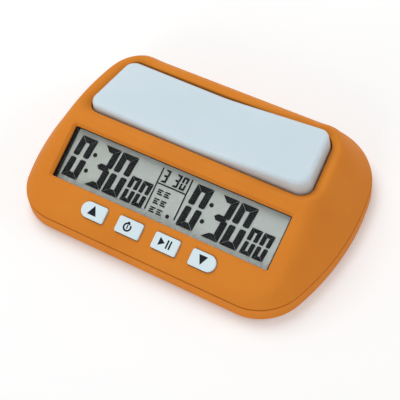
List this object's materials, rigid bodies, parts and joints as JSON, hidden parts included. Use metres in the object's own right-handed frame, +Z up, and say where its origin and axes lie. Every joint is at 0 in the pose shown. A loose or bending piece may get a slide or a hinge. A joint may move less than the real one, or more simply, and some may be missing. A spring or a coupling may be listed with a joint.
{
  "type": "chess clock",
  "caption": "Compact digital chess clock: sloped two-shell case with a segment display, a row of soft keys and a rocking lever on top.",
  "frame": {"origin": "on the table, at the centre of the case outline seen from above", "axes": "+X along the width to the right as the players' display reads, +Y to the back, +Z up"},
  "size_m": [0.1496, 0.103, 0.0352],
  "materials": {
    "orange_case": "fine satin moulding",
    "white_lever": "satin",
    "white_keys": "satin",
    "black_plastic": "matte",
    "clear_window": "clear polished",
    "display_glass": "reflective segment display",
    "rubber": "matte",
    "board_laminate": "solder mask",
    "epoxy": "semi-gloss blob",
    "steel": "zinc plated",
    "brass": "stamped",
    "spring_steel": "bright wire",
    "cell_wrap": "plain shrink sleeve"
  },
  "bodies": {
    "case": {"battery_cell": "cell_wrap", "battery_contact_negative": "brass", "battery_contact_positive": "brass", "battery_spring": "spring_steel", "board_screw_left": "steel", "board_screw_right": "steel", "case_screw_back_left": "steel", "case_screw_back_right": "steel", "case_screw_front_left": "steel", "case_screw_front_right": "steel", "controller_chip": "epoxy", "display_frame": "black_plastic", "display_window": "clear_window", "foot_back_left": "rubber", "foot_back_right": "rubber", "foot_front_left": "rubber", "foot_front_right": "rubber", "key_switch_down": "black_plastic", "key_switch_play_pause": "black_plastic", "key_switch_timer": "black_plastic", "key_switch_up": "black_plastic", "lcd_connector": "rubber", "lcd_panel": "display_glass", "lever_pin": "steel", "lever_switch_left": "black_plastic", "lever_switch_right": "black_plastic", "lower_case": "orange_case", "main_board": "board_laminate", "piezo_buzzer": "black_plastic", "power_switch": "black_plastic", "switch_board": "board_laminate", "switch_board_screw_left": "steel", "switch_board_screw_right": "steel", "timing_crystal": "steel", "upper_case": "orange_case"},
    "battery_door": {"battery_door": "orange_case"},
    "lever": {"rocker_lever": "white_lever"},
    "plunger_left": {"plunger_left": "white_keys"},
    "plunger_right": {"plunger_right": "white_keys"},
    "power_slider": {"power_slider": "black_plastic"},
    "key_up": {"button_up": "white_keys", "key_actuator_up": "black_plastic"},
    "key_timer": {"button_timer": "white_keys", "key_actuator_timer": "black_plastic"},
    "key_play_pause": {"button_play_pause": "white_keys", "key_actuator_play_pause": "black_plastic"},
    "key_down": {"button_down": "white_keys", "key_actuator_down": "black_plastic"}
  },
  "joints": [
    {"name": "lever_rock", "type": "hinge", "parent": "case", "child": "lever", "pos_m": [0, 0.0143, 0.021], "axis": [0, 1, 0], "range_deg": [0, 4.8]},
    {"name": "plunger_left_travel", "type": "slide", "parent": "case", "child": "plunger_left", "axis": [0, 0, 1], "range_m": [0, 0.0032]},
    {"name": "plunger_right_travel", "type": "slide", "parent": "case", "child": "plunger_right", "axis": [0, 0, -1], "range_m": [0, 0.0032]},
    {"name": "press_up", "type": "slide", "parent": "case", "child": "key_up", "axis": [0, 0.4163, -0.9092], "range_m": [0, 0.0008], "stiffness_N_per_m": 1200, "springref_m": -0.0004},
    {"name": "press_timer", "type": "slide", "parent": "case", "child": "key_timer", "axis": [0, 0.4163, -0.9092], "range_m": [0, 0.0008], "stiffness_N_per_m": 1200, "springref_m": -0.0004},
    {"name": "press_play_pause", "type": "slide", "parent": "case", "child": "key_play_pause", "axis": [0, 0.4163, -0.9092], "range_m": [0, 0.0008], "stiffness_N_per_m": 1200, "springref_m": -0.0004},
    {"name": "press_down", "type": "slide", "parent": "case", "child": "key_down", "axis": [0, 0.4163, -0.9092], "range_m": [0, 0.0008], "stiffness_N_per_m": 1200, "springref_m": -0.0004},
    {"name": "power_slide", "type": "slide", "parent": "case", "child": "power_slider", "axis": [-1, 0, 0], "range_m": [0, 0.003]},
    {"name": "battery_door_slide", "type": "slide", "parent": "case", "child": "battery_door", "axis": [0, 1, 0], "range_m": [0, 0.022]}
  ],
  "couplings": [
    {"joint": "plunger_left_travel", "follows": "lever_rock", "m_per_rad": 0.038},
    {"joint": "plunger_right_travel", "follows": "lever_rock", "m_per_rad": 0.038}
  ]
}
